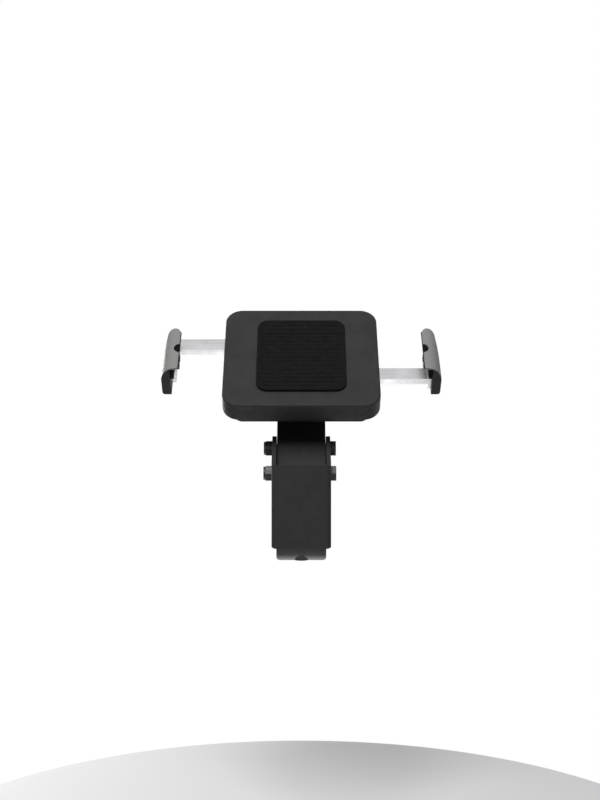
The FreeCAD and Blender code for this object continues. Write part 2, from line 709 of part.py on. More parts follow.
def jaw_outline(inset, z0, z1):
    """Outline of the right jaw seen from the front, drawn in by inset, as a prism from z0 to z1."""
    x_in = lip_x
    top = jaw_top_y - inset
    out_top = jaw_out_top - inset
    out_mid = jaw_out_mid - inset
    out_low = jaw_out_low - inset
    low = jaw_low_y + inset
    r = lip_round
    c = r * (1 - math.sqrt(0.5))
    k = r - inset
    q = jaw_low_round
    h = q * (1 - math.sqrt(0.5))

    def p(x, y):
        return V(x, y, z0)

    upper = out_top - k
    edges = [Part.LineSegment(p(x_in, low + q), p(x_in, top - r)).toShape(),
             Part.Arc(p(x_in, top - r), p(x_in + c, top - c), p(x_in + r, top)).toShape(),
             Part.Arc(p(x_in + r, top), p(upper + k * 0.75, top - r * 0.30), p(out_top, top - r)).toShape(),
             Part.Arc(p(out_top, top - r), p(out_mid, notch_y), p(out_low, low + q)).toShape(),
             Part.Arc(p(out_low, low + q), p(out_low - h, low + h), p(out_low - q, low)).toShape(),
             Part.LineSegment(p(out_low - q, low), p(x_in + q, low)).toShape(),
             Part.Arc(p(x_in + q, low), p(x_in + h, low + h), p(x_in, low + q)).toShape()]
    return Part.Face(Part.Wire(edges)).extrude(V(0, 0, z1 - z0))


def jaw_section(inset, y0, y1):
    """Cross-section of the right jaw, crowned from the lip to its outer side, carried along Y."""
    top = lip_top - inset
    out = jaw_out_back - inset

    def p(x, z):
        return V(x, y0, z)

    crown = Part.BSplineCurve()
    side = [p(out - across, top - down) for across, down in crown_side]
    lip = p(lip_x - 1, top - crown_lip)
    crown.interpolate([lip, p(lip_x + crown_ridge, top)] + side)
    r = jaw_back_round
    h = r * (1 - math.sqrt(0.5))
    edges = [crown.toShape(),
             Part.LineSegment(side[-1], p(out, -jaw_back + r)).toShape(),
             Part.Arc(p(out, -jaw_back + r), p(out - h, -jaw_back + h), p(out - r, -jaw_back)).toShape(),
             Part.LineSegment(p(out - r, -jaw_back), p(lip_x - 1, -jaw_back)).toShape(),
             Part.LineSegment(p(lip_x - 1, -jaw_back), lip).toShape()]
    return Part.Face(Part.Wire(edges)).extrude(V(0, y1 - y0, 0))


def jaw_notch():
    """Round notch at the middle of the lip, all the way through it."""
    return rod_z(notch_r, tablet_t, lip_top + 1, lip_x + notch_out, notch_y)


def jaw_form(inset):
    prism = jaw_outline(inset, -jaw_back, lip_top + 1)
    return prism.common(jaw_section(inset, jaw_low_y - 1, jaw_top_y + 1))


def jaw_end_room():
    """Where the black end of the jaw shows: all of its lower end but the skin's front."""
    room = box(core_x, jaw_out_back + 1, jaw_low_y - 1, jaw_low_y + end_cap_t, -jaw_back - 1, lip_top)
    behind = jaw_section(0, jaw_low_y - 1, jaw_top_y + 1)
    behind.translate(V(0, 0, -end_skin_t))
    return room.common(behind)


def jaw_shell():
    """Silver outer skin of the right jaw: lip and crowned side."""
    inner = jaw_form(shell_t).fuse(box(0, core_x, jaw_low_y - 1, jaw_top_y + 1, -jaw_back - 1, lip_under))
    return jaw_form(0).cut(inner).cut([jaw_notch(), jaw_end_room()]).removeSplitter()


def jaw_core():
    """Black carrier inside the skin, with the jaw's lower end."""
    beside = box(core_x, jaw_out_back, jaw_low_y, jaw_top_y, -jaw_back, lip_top)
    end = jaw_form(0).common(jaw_end_room())
    return fuse(jaw_form(shell_t).common(beside), end).common(beside).removeSplitter()


def jaw_grip():
    """Rubber along the tablet's edge and under the lip."""
    low = jaw_low_y + grip_in
    high = jaw_top_y - grip_in
    side = box(tablet_x + grip_gap, core_x, low, high, cover_front, lip_under)
    under = box(lip_x - lip_pad_t, core_x, low + grip_in, high - grip_in, tablet_t + lip_pad_gap, lip_under)
    return fuse(side, under)


def jaw_screws():
    """Two socket screws along X, their heads on the arm's end plate."""
    parts = []
    for y, rod in zip(jaw_screw_y, jaw_screw_rods(jaw_screw_r)):
        x = core_x - arm_end_t
        head = rod_x(1.8 * jaw_screw_r, x - jaw_screw_head_h, x, y, jaw_screw_z)
        socket_end = x - 0.4 * jaw_screw_head_h
        head = head.cut(hex_x(jaw_screw_af, x - 2 * jaw_screw_head_h, socket_end, y, jaw_screw_z))
        parts.append(fuse(head, rod))
    return Part.makeCompound(parts)


def right_jaw(piece):
    return piece.cut(jaw_screw_rods(jaw_screw_r))


def left_jaw(piece):
    return mirrored(piece).cut([turned(rod) for rod in jaw_screw_rods(jaw_screw_r)])


def clamp_pieces():
    return {"rail_bracket": rail_bracket(), "upper_jaw_block": cradle(), "upper_jaw_liner": cradle_liner(),
            "upper_jaw_screws": cradle_screws(), "threaded_insert": screw_insert(), "lower_jaw": lower_jaw(),
            "lower_jaw_pad": lower_jaw_pad(), "clamp_screw": clamp_screw(), "neck": neck(),
            "neck_bolts": neck_bolts(), "neck_nuts": neck_nuts(), "tilt_bolt": tilt_bolt(),
            "tilt_nut": tilt_nut(), "tilt_washers": tilt_washers()}


def holder_pieces():
    core = jaw_core()
    shell = jaw_shell()
    grip = jaw_grip()
    arm = right_arm()
    screws = jaw_screws()
    pieces = {"tilt_head": tilt_head(), "swivel_washer": swivel_washer(), "swivel_bolt": swivel_bolt(),
              "swivel_flat_washer": swivel_flat(), "mounting_plate": mounting_plate(),
              "plate_screws": plate_screws(), "rear_cover": rear_cover(), "front_cover": front_cover(),
              "cover_screws": cover_screws(), "back_pad": back_pad(), "pinion": pinion(),
              "pinion_axle": pinion_axle(), "right_arm": arm, "left_arm": turned(arm),
              "lock_barrel": lock_barrel(), "lock_plug": lock_plug(), "lock_cam": lock_cam(),
              "right_jaw_core": right_jaw(core), "left_jaw_core": left_jaw(core),
              "right_jaw_shell": shell, "left_jaw_shell": mirrored(shell),
              "right_jaw_grip": grip, "left_jaw_grip": mirrored(grip),
              "right_jaw_screws": screws, "left_jaw_screws": turned(screws)}
    return {name: lean_back(shape) for name, shape in pieces.items()}


def main():
    os.makedirs("parts", exist_ok=True)
    pieces = clamp_pieces()
    pieces.update(holder_pieces())
    for name, shape in pieces.items():
        shape.exportStep(os.path.join("parts", name + ".step"))


if __name__ == "__main__":
    main()
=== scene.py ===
import json
import math

import bmesh
import bpy
import numpy as np
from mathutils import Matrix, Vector


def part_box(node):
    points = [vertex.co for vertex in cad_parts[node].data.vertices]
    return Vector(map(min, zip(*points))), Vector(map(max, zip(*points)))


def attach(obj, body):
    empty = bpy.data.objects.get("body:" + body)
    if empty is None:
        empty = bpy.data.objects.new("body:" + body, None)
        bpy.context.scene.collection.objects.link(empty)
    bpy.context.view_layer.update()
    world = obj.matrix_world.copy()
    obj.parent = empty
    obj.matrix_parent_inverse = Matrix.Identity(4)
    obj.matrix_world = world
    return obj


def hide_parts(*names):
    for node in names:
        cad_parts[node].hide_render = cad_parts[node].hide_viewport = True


bl_info = {
    "name": "Tablet rail mount",
    "version": (1, 0, 0),
    "blender": (4, 5, 0),
    "location": "View3D > Sidebar > Rail mount",
    "description": "Dresses the packed rail mount: finishes, softened edges, threads, grips and stage",
    "category": "Object",
}

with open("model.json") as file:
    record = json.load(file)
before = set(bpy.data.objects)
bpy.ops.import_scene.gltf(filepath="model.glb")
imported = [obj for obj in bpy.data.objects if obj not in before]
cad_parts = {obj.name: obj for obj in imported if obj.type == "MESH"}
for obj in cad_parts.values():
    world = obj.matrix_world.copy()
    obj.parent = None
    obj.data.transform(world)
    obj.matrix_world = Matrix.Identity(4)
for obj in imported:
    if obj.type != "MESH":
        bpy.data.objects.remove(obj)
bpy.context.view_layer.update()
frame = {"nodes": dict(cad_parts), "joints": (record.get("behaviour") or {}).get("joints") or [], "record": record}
NODES = frame["nodes"]

# The holder's own axes: across, up along the tablet, and out of its face
LEAN = math.radians(44.0)
ACROSS = np.array([1.0, 0.0, 0.0])
UP = np.array([0.0, math.sin(LEAN), math.cos(LEAN)])
OUT = np.array([0.0, -math.cos(LEAN), math.sin(LEAN)])

MM = 0.001

# Softening of the solids' edges
MERGE_DIST = 2e-6
FLAT_ANGLE = math.radians(0.6)
EDGE_ANGLE = math.radians(32.0)
CREASE_ANGLE = math.radians(35.0)

# The clamp screw: an M6 socket cap screw
HEAD_H = 6.0 * MM
SHANK_R = 3.0 * MM
SOCKET_HALF_FLATS = 2.5 * MM
SOCKET_DEPTH = 3.1 * MM
KNURL_TEETH = 48
KNURL_DEPTH = 0.12 * MM
THREAD_STEPS = 8          # outlines per turn of thread

# The back pad's corner, rolled rim, plain border and rib depth
PAD_CORNER = 8.0 * MM
PAD_ROLL = 0.8 * MM
PAD_BORDER = 3.0 * MM
PAD_RIB_DEPTH = 0.5 * MM

# The grips' rounding, rib depth, and the parts of the rubber that each strip takes
GRIP_ROUND = 0.35 * MM
GRIP_RIB_DEPTH = 0.32 * MM
GRIP_EDGE_T = 2.5 * MM
GRIP_LIP_T = 1.6 * MM
GRIP_LIP_INSET = 1.0 * MM

# The stage: floor, and each lamp's place, target and size
FLOOR_R = 0.3
FLOOR_SIDES = 128
FLOOR_COLOUR = (0.93, 0.93, 0.93, 1.0)
HOLDER_SPOT = (0.0, 0.0, 0.05)
NOSE_SPOT = (0.0, -0.02, -0.03)
KEY_PLACE, KEY_SIZE = (-0.15, -0.8, 0.9), 0.6
SIDE_PLACE, SIDE_SIZE = (-0.55, 0.85, 0.15), 0.35
LOW_PLACE, LOW_SIZE = (0.0, 0.02, -0.21), 0.25


def joint_place(name):
    """Where a joint turns, in metres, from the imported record."""
    for joint in frame["joints"]:
        if joint["name"] == name:
            return np.array(joint["pos_m"], float)
    raise RuntimeError("no joint named " + name)


FACE = joint_place("swivel")
SCREW_AXIS = joint_place("clamp_screw_turn")


def holder_points(x, y, z):
    """Holder coordinates in metres, as arrays, to points of the frame."""
    x, y, z = np.broadcast_arrays(x, y, z)
    return FACE + x[..., None] * ACROSS + y[..., None] * UP + z[..., None] * OUT


def local_box(node):
    """Lowest and highest corner of a node in holder coordinates, in metres."""
    mesh = NODES[node].data
    co = np.empty(len(mesh.vertices) * 3)
    mesh.vertices.foreach_get("co", co)
    rel = co.reshape(-1, 3) - FACE
    spots = np.stack([rel @ ACROSS, rel @ UP, rel @ OUT], axis=1)
    return spots.min(axis=0), spots.max(axis=0)


class MountSizes(bpy.types.PropertyGroup):
    """Sizes of the fine detail that the solids leave out."""
    edge: bpy.props.FloatProperty(name="Edge softening", description="Width of the rounded sheet edges",
                                  default=0.00035, min=0.0, unit="LENGTH")
    moulded_edge: bpy.props.FloatProperty(name="Moulded edge", description="Rounding of the moulded covers",
                                          default=0.0005, min=0.0, unit="LENGTH")
    thread_pitch: bpy.props.FloatProperty(name="Thread pitch", description="Pitch of the clamp screw",
                                          default=0.001, min=0.0005, unit="LENGTH")
    thread_depth: bpy.props.FloatProperty(name="Thread depth", description="Depth of its thread",
                                          default=0.00055, min=0.0, unit="LENGTH")
    pad_rib: bpy.props.FloatProperty(name="Pad rib", description="Distance between the back pad's ribs",
                                     default=0.004, min=0.001, unit="LENGTH")
    grip_rib: bpy.props.FloatProperty(name="Grip rib", description="Distance between the grips' ribs",
                                      default=0.002, min=0.0005, unit="LENGTH")


class MountColours(bpy.types.PropertyGroup):
    """Colours of the mount's finishes."""
    powder: bpy.props.FloatVectorProperty(name="Powder coat", description="Folded steel and castings",
                                          subtype="COLOR", size=3, default=(0.036, 0.036, 0.0365))
    nylon: bpy.props.FloatVectorProperty(name="Moulded plastic", description="Covers and jaw cores",
                                         subtype="COLOR", size=3, default=(0.026, 0.026, 0.0265))
    rubber: bpy.props.FloatVectorProperty(name="Rubber", description="Pads, liners and grips",
                                          subtype="COLOR", size=3, default=(0.004, 0.004, 0.0042))
    silver: bpy.props.FloatVectorProperty(name="Jaw skin", description="Silver-grey coat of the jaws",
                                          subtype="COLOR", size=3, default=(0.255, 0.25, 0.246))
    steel: bpy.props.FloatVectorProperty(name="Bright steel", description="Arms, pinion and washers",
                                         subtype="COLOR", size=3, default=(0.50, 0.50, 0.51))
    oxide: bpy.props.FloatVectorProperty(name="Black oxide", description="Screws, bolts and nuts",
                                         subtype="COLOR", size=3, default=(0.030, 0.030, 0.032))


class StageLight(bpy.types.PropertyGroup):
    """Camera, floor and lamps."""
    camera_distance: bpy.props.FloatProperty(name="Camera distance",
                                             description="From the rail's centre, level",
                                             default=0.867, min=0.1, unit="LENGTH")
    camera_height: bpy.props.FloatProperty(name="Camera height", description="Above the rail's centre",
                                           default=0.078, unit="LENGTH")
    camera_side: bpy.props.FloatProperty(name="Camera side", description="Along the rail",
                                         default=-0.00088, unit="LENGTH")
    lens: bpy.props.FloatProperty(name="Lens", description="Focal length in mm on a 36 mm sensor",
                                  default=56.25, min=10.0)
    floor_drop: bpy.props.FloatProperty(name="Floor", description="Depth of the floor below the rail",
                                        default=0.24, min=0.05, unit="LENGTH")
    key_power: bpy.props.FloatProperty(name="Key lamp", description="Power in watts", default=14.0, min=0.0)
    side_power: bpy.props.FloatProperty(name="Side lamp", description="Power in watts", default=5.0, min=0.0)
    low_power: bpy.props.FloatProperty(name="Low lamp", description="Power in watts", default=0.30, min=0.0)
    world_level: bpy.props.FloatProperty(name="Room light",
                                         description="Strength of the room's diffuse light",
                                         default=0.045, min=0.0)


def sizes():
    return bpy.context.scene.mount_sizes


def colours():
    return bpy.context.scene.mount_colours


def put_mesh(name, points, faces):
    """A mesh object at the origin from an array of points and a list or array of faces."""
    mesh = bpy.data.meshes.new(name)
    spots = np.asarray(points, float).reshape(-1, 3).tolist()
    mesh.from_pydata(spots, [], [list(map(int, f)) for f in faces])
    mesh.polygons.foreach_set("use_smooth", np.full(len(mesh.polygons), True))
    mesh.update()
    piece = bpy.data.objects.new(name, mesh)
    bpy.context.scene.collection.objects.link(piece)
    return piece


def grid_faces(rows, columns, wrap_columns=False, first=0):
    """Quads of a grid of points, row by row, its columns closed round where asked."""
    r = np.arange(rows - 1)
    c = np.arange(columns if wrap_columns else columns - 1)
    i, j = np.meshgrid(r, c, indexing="ij")
    i2 = i + 1
    j2 = (j + 1) % columns
    quads = np.stack([i * columns + j, i * columns + j2, i2 * columns + j2, i2 * columns + j], axis=-1)
    return quads.reshape(-1, 4) + first


def closed_sheet(name, front, back):
    """Two grids of the same shape joined round their rims into one closed piece."""
    rows, columns = front.shape[:2]
    count = rows * columns
    top = grid_faces(rows, columns)
    under = grid_faces(rows, columns, first=count)[:, ::-1]
    rim = np.concatenate([np.arange(columns), (np.arange(1, rows) * columns + columns - 1),
                          (rows - 1) * columns + np.arange(columns - 2, -1, -1),
                          np.arange(rows - 2, 0, -1) * columns])
    following = np.roll(rim, -1)
    sides = np.stack([rim, rim + count, following + count, following], axis=1)
    points = np.concatenate([front.reshape(-1, 3), back.reshape(-1, 3)])
    piece = put_mesh(name, points, [*top.tolist(), *under.tolist(), *sides.tolist()])
    turn_outwards(piece)
    return piece


def turn_outwards(piece):
    """Makes every face of a closed piece point outwards."""
    form = bmesh.new()
    form.from_mesh(piece.data)
    bmesh.ops.remove_doubles(form, verts=form.verts, dist=1e-7)
    bmesh.ops.recalc_face_normals(form, faces=form.faces)
    form.to_mesh(piece.data)
    form.free()


class Finish:
    """A node material under construction: its shader, and short ways to add textures."""

    def __init__(self, name, **settings):
        self.material = bpy.data.materials.new(name)
        self.material.use_nodes = True
        self.nodes = self.material.node_tree.nodes
        self.links = self.material.node_tree.links
        self.shader = self.nodes["Principled BSDF"]
        for socket, value in settings.items():
            self.shader.inputs[socket.replace("_", " ")].default_value = value
        self.coords = self.nodes.new("ShaderNodeTexCoord").outputs["Object"]

    def stretched(self, scale):
        """Object coordinates, stretched, for a grain with a direction."""
        mapping = self.nodes.new("ShaderNodeMapping")
        mapping.inputs["Scale"].default_value = scale
        self.links.new(self.coords, mapping.inputs["Vector"])
        return mapping.outputs["Vector"]

    def noise(self, scale, detail=3.0, roughness=0.5, vector=None):
        """Noise with features of about 1/scale metres."""
        node = self.nodes.new("ShaderNodeTexNoise")
        node.inputs["Scale"].default_value = scale
        node.inputs["Detail"].default_value = detail
        node.inputs["Roughness"].default_value = roughness
        self.links.new(self.coords if vector is None else vector, node.inputs["Vector"])
        return node.outputs["Fac"]

    def cells(self, scale):
        """Distance to the nearest of scattered points, for a pebbled grain."""
        node = self.nodes.new("ShaderNodeTexVoronoi")
        node.inputs["Scale"].default_value = scale
        self.links.new(self.coords, node.inputs["Vector"])
        return node.outputs["Distance"]

    def spread(self, factor, low, high):
        """A factor around one half spread between two values."""
        node = self.nodes.new("ShaderNodeMapRange")
        node.inputs["From Min"].default_value = 0.3
        node.inputs["From Max"].default_value = 0.7
        node.inputs["To Min"].default_value = low
        node.inputs["To Max"].default_value = high
        self.links.new(factor, node.inputs["Value"])
        return node.outputs["Result"]

    def tint(self, factor, dark, light):
        """A colour between two tones, by a factor."""
        ramp = self.nodes.new("ShaderNodeValToRGB")
        ramp.color_ramp.elements[0].position = 0.35
        ramp.color_ramp.elements[1].position = 0.65
        ramp.color_ramp.elements[0].color = (*dark, 1.0)
        ramp.color_ramp.elements[1].color = (*light, 1.0)
        self.links.new(factor, ramp.inputs["Fac"])
        self.links.new(ramp.outputs["Color"], self.shader.inputs["Base Color"])

    def vary_roughness(self, factor, low, high):
        self.links.new(self.spread(factor, low, high), self.shader.inputs["Roughness"])

    def bump(self, heights):
        """Bumps stacked one on another: pairs of a height output and a depth in metres."""
        normal = None
        for height, depth in heights:
            node = self.nodes.new("ShaderNodeBump")
            node.inputs["Strength"].default_value = 1.0
            node.inputs["Distance"].default_value = depth
            self.links.new(height, node.inputs["Height"])
            if normal is not None:
                self.links.new(normal, node.inputs["Normal"])
            normal = node.outputs["Normal"]
        self.links.new(normal, self.shader.inputs["Normal"])


def shade(colour, factor):
    return tuple(min(1.0, c * factor) for c in colour)


def powder_coat():
    """Matt black powder coat: a fine orange peel over folded steel."""
    f = Finish("powder_coat", Specular_IOR_Level=0.06)
    c = colours().powder
    f.tint(f.noise(220.0, 4.0), shade(c, 0.95), shade(c, 1.06))
    f.vary_roughness(f.noise(90.0, 3.0), 0.6, 0.7)
    f.bump([(f.noise(2600.0, 2.0), 0.00007), (f.noise(700.0, 2.0), 0.00005)])
    return f.material


def cast_coat():
    """The same black over a casting, with a coarser skin."""
    f = Finish("cast_coat", Specular_IOR_Level=0.4)
    c = colours().powder
    f.tint(f.noise(160.0, 4.0), shade(c, 0.9), shade(c, 1.3))
    f.vary_roughness(f.noise(120.0, 3.0), 0.26, 0.36)
    f.bump([(f.cells(1500.0), 0.00005), (f.noise(520.0, 3.0), 0.0001)])
    return f.material


def moulded_plastic():
    """Black plastic with the spark-eroded grain of its mould."""
    f = Finish("moulded_plastic", Specular_IOR_Level=0.12)
    c = colours().nylon
    f.tint(f.noise(70.0, 3.0), shade(c, 0.9), shade(c, 1.15))
    f.vary_roughness(f.noise(300.0, 3.0), 0.48, 0.62)
    f.bump([(f.cells(2300.0), 0.00006), (f.noise(3600.0, 2.0), 0.00003)])
    return f.material


def soft_rubber():
    """Matt black rubber, slightly dusty."""
    f = Finish("soft_rubber", Specular_IOR_Level=0.06, Sheen_Weight=0.02)
    c = colours().rubber
    f.tint(f.noise(400.0, 5.0), shade(c, 0.8), shade(c, 1.7))
    f.vary_roughness(f.noise(200.0, 3.0), 0.68, 0.82)
    f.bump([(f.noise(3000.0, 3.0), 0.00004), (f.noise(900.0, 2.0), 0.00004)])
    return f.material


def silver_coat():
    """Satin silver-grey coat with fine metal flake."""
    f = Finish("silver_coat", Specular_IOR_Level=0.06)
    c = colours().silver
    f.tint(f.noise(5200.0, 2.0), shade(c, 0.93), shade(c, 1.08))
    f.vary_roughness(f.noise(150.0, 3.0), 0.45, 0.55)
    f.bump([(f.noise(4200.0, 2.0), 0.00003), (f.noise(350.0, 2.0), 0.00004)])
    return f.material


def drawn_steel():
    """Bright steel drawn along the arms, with fine lines along X."""
    f = Finish("drawn_steel", Metallic=1.0, Specular_IOR_Level=0.5)
    c = colours().steel
    grain = f.noise(40.0, 4.0, 0.6, f.stretched((1.0, 60.0, 60.0)))
    f.tint(grain, shade(c, 0.86), shade(c, 1.08))
    f.vary_roughness(f.noise(60.0, 3.0), 0.28, 0.42)
    f.bump([(grain, 0.00004), (f.noise(900.0, 2.0), 0.00002)])
    return f.material


def black_oxide():
    """Oiled black oxide on screws and nuts."""
    f = Finish("black_oxide", Metallic=0.7, Specular_IOR_Level=0.5)
    c = colours().oxide
    f.tint(f.noise(600.0, 4.0), shade(c, 0.9), shade(c, 1.15))
    f.vary_roughness(f.noise(350.0, 3.0), 0.34, 0.5)
    f.bump([(f.noise(2200.0, 3.0), 0.00003)])
    return f.material


def nickel_plate():
    """Satin nickel on the lock, with a faint mottled grain."""
    f = Finish("nickel_plate", Metallic=1.0, Specular_IOR_Level=0.5)
    c = colours().steel
    f.tint(f.noise(500.0, 4.0), shade(c, 0.75), shade(c, 0.95))
    f.vary_roughness(f.noise(420.0, 3.0), 0.2, 0.34)
    f.bump([(f.noise(1800.0, 2.0), 0.00002)])
    return f.material


FINISHES = {"black_steel": powder_coat, "black_cast": cast_coat, "black_nylon": moulded_plastic,
            "black_rubber": soft_rubber, "black_screws": black_oxide, "bright_steel": drawn_steel,
            "lock_chrome": nickel_plate, "silver_jaw": silver_coat}


def finish_of(slot):
    """The material of a slot, made once."""
    name = FINISHES[slot].__name__
    return bpy.data.materials.get(name) or FINISHES[slot]()


def dress(piece, slot):
    """Gives a piece one material for all its faces."""
    piece.data.materials.clear()
    piece.data.materials.append(finish_of(slot))
    piece.data.polygons.foreach_set("material_index", np.zeros(len(piece.data.polygons), np.int32))


def slot_of(node):
    for part in frame["record"]["subparts"]:
        if part["node"] == node:
            return part["material_slot"]
    raise RuntimeError("no sub-part named " + node)


def body_of(node):
    for body, members in frame["record"]["behaviour"]["bodies"].items():
        if node in members:
            return body
    raise RuntimeError("no body holds " + node)


def soften(node, width, segments=2, flatten=True):
    """A copy of a node with its sharp edges rounded, which stands for the node. Flatten joins the facets
    of flat faces; a piece with large curved faces keeps them all."""
    slot = slot_of(node)
    form = bmesh.new()
    form.from_mesh(NODES[node].data)
    bmesh.ops.remove_doubles(form, verts=form.verts, dist=MERGE_DIST)
    if flatten:
        bmesh.ops.dissolve_limit(form, angle_limit=FLAT_ANGLE, verts=form.verts, edges=form.edges)
    mesh = bpy.data.meshes.new(node + "_dressed")
    form.to_mesh(mesh)
    form.free()
    mesh.polygons.foreach_set("use_smooth", np.full(len(mesh.polygons), True))
    piece = bpy.data.objects.new(node + "_dressed", mesh)
    bpy.context.scene.collection.objects.link(piece)
    bevel = piece.modifiers.new("Rounded edges", "BEVEL")
    bevel.width = width
    bevel.segments = segments
    bevel.limit_method = "ANGLE"
    bevel.angle_limit = EDGE_ANGLE
    bevel.use_clamp_overlap = True
    weighted = piece.modifiers.new("Flat faces", "WEIGHTED_NORMAL")
    weighted.keep_sharp = False
    dress(piece, slot)
    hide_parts(node)
    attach(piece, body_of(node))
    return piece


def swept(name, rings, slot):
    """A closed piece through a stack of closed outlines, with its two ends capped."""
    rows, columns = rings.shape[:2]
    faces = grid_faces(rows, columns, wrap_columns=True).tolist()
    faces.append(list(range(columns - 1, -1, -1)))
    faces.append(list(range((rows - 1) * columns, rows * columns)))
    piece = put_mesh(name, rings, faces)
    turn_outwards(piece)
    dress(piece, slot)
    return piece


def stand_for(piece, node):
    """The piece shows in place of a node, and moves as the node does."""
    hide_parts(node)
    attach(piece, body_of(node))
    return piece


def crease_by_angle(pieces):
    """Flat faces with crisp rims: creases by angle for a piece that is not smooth all over."""
    for piece in pieces:
        with bpy.context.temp_override(object=piece, active_object=piece,
                                       selected_editable_objects=[piece]):
            bpy.ops.object.shade_smooth_by_angle(angle=CREASE_ANGLE)


def clamp_screw_piece():
    """Socket cap screw. The shank's radius is the nominal one, less a triangle wave of the thread's depth
    that runs with height minus turn times pitch. The head is a ring of outlines: rim, chamfer, knurled side,
    shoulder; its socket is a hexagon, where the radius is half the flats over the cosine of the angle
    from the nearest flat."""
    low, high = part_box("clamp_screw")
    around = 96
    turn = np.linspace(0, 2 * np.pi, around, endpoint=False)
    head_r = (high[0] - low[0]) / 2
    bottom = low[2]
    top = high[2]
    hexagon = SOCKET_HALF_FLATS / np.cos((turn + np.pi / 6) % (np.pi / 3) - np.pi / 6)
    knurl = head_r - KNURL_DEPTH * (0.5 + 0.5 * np.cos(KNURL_TEETH * turn))
    plain = np.full(around, 1.0)
    rings = [(plain * 0.15 * MM, bottom + SOCKET_DEPTH), (hexagon * 0.98, bottom + SOCKET_DEPTH - 0.2 * MM),
             (hexagon, bottom + SOCKET_DEPTH - 0.4 * MM), (hexagon, bottom + 0.25 * MM),
             (hexagon + 0.25 * MM, bottom + 0.02 * MM),
             (plain * (head_r - 0.75 * MM), bottom), (plain * (head_r - 0.5 * MM), bottom + 0.06 * MM),
             (plain * (head_r - 0.14 * MM), bottom + 0.4 * MM), (knurl, bottom + 0.6 * MM),
             (knurl, bottom + HEAD_H - 0.35 * MM), (plain * (head_r - 0.25 * MM), bottom + HEAD_H - 0.1 * MM),
             (plain * (head_r - 0.5 * MM), bottom + HEAD_H), (plain * (SHANK_R + 0.3 * MM), bottom + HEAD_H),
             (plain * (SHANK_R - 0.1 * MM), bottom + HEAD_H + 0.3 * MM)]
    start = bottom + HEAD_H + 0.6 * MM
    pitch = sizes().thread_pitch
    steps = int((top - start) / pitch * THREAD_STEPS)
    for z in np.linspace(start, top - 0.7 * MM, steps):
        phase = (z / pitch - turn / (2 * np.pi)) % 1.0
        run_in = np.clip(min(z - start, top - 0.7 * MM - z) / pitch, 0, 1)
        rings.append((SHANK_R - sizes().thread_depth * run_in * np.abs(2 * phase - 1), z))
    rings += [(plain * (SHANK_R - 0.6 * MM), top), (plain * 0.2 * MM, top)]
    stack = np.array([np.stack([SCREW_AXIS[0] + r * np.cos(turn), SCREW_AXIS[1] + r * np.sin(turn),
                                np.full(around, z)], axis=1) for r, z in rings])
    piece = swept("clamp_screw_threaded", stack, "black_screws")
    crease_by_angle([piece])
    return stand_for(piece, "clamp_screw")


def back_pad_piece():
    """Ribbed rubber pad. Each side is a grid across a rectangle with rounded corners: at height y the half
    width is the full one less the corner's rise. Its face sinks between the ribs as the fourth power of a
    cosine, and rolls off round the rim as a quarter circle."""
    low, high = local_box("back_pad")
    half_w, half_h = high[0], high[1]
    corner = PAD_CORNER
    roll = PAD_ROLL
    y = half_h * np.sin(np.linspace(-np.pi / 2, np.pi / 2, 301))
    into = np.clip(np.abs(y) - (half_h - corner), 0, corner)
    width = half_w - (corner - np.sqrt(np.maximum(corner ** 2 - into ** 2, 0)))
    u = np.sin(np.linspace(-np.pi / 2, np.pi / 2, 81))
    x = u[None, :] * width[:, None]
    yy = np.repeat(y[:, None], len(u), axis=1)
    rim = np.minimum(width[:, None] - np.abs(x), half_h - np.abs(yy))
    rolled = np.clip(roll - rim, 0, roll)
    drop = roll - np.sqrt(np.maximum(roll ** 2 - rolled ** 2, 0))
    border = np.clip((rim - PAD_BORDER) / MM, 0, 1)
    rib = np.cos(np.pi * yy / sizes().pad_rib) ** 4
    face = high[2] - drop - PAD_RIB_DEPTH * border * rib
    front = holder_points(x, yy, face)
    back = holder_points(x, yy, np.full_like(x, low[2]))
    piece = closed_sheet("back_pad_ribbed", front, back)
    dress(piece, "black_rubber")
    crease_by_angle([piece])
    return stand_for(piece, "back_pad")


def ribbed_bar(name, low, high, side, ribbed):
    """A rubber strip along the tablet's edge. Its outline is a rectangle with rounded corners, and the
    face named by ribbed sinks between ribs along its length as a squared cosine."""
    steps = 6
    r = GRIP_ROUND
    centre = (low + high) / 2
    half = (high - low) / 2
    outline = []
    for sx, sz, start in ((1, 1, 0.0), (-1, 1, 0.5), (-1, -1, 1.0), (1, -1, 1.5)):
        for t in np.linspace(0, 0.5, steps):
            angle = (start + t) * np.pi
            outline.append((sx * (half[0] - r) + r * math.cos(angle),
                            sz * (half[2] - r) + r * math.sin(angle)))
    outline = np.array(outline)
    length = np.linspace(low[1], high[1], 8 * int((high[1] - low[1]) / sizes().grip_rib) + 1)
    rings = []
    for y in length:
        end = min(y - low[1], high[1] - y)
        taper = r - math.sqrt(max(r * r - max(r - end, 0) ** 2, 0))
        scale = 1 - taper / half[[0, 2]]
        section = outline * scale
        groove = GRIP_RIB_DEPTH * math.cos(math.pi * y / sizes().grip_rib) ** 2 * min(1.0, end / MM)
        face = section[:, 0] < -half[0] + 0.6 * r if ribbed == "x" else section[:, 1] < -half[2] + 0.6 * r
        section[:, 0 if ribbed == "x" else 1] += np.where(face, groove, 0)
        rings.append(holder_points(side * (centre[0] + section[:, 0]), np.full(len(section), y),
                                   centre[2] + section[:, 1]))
    return swept(name, np.array(rings), "black_rubber")


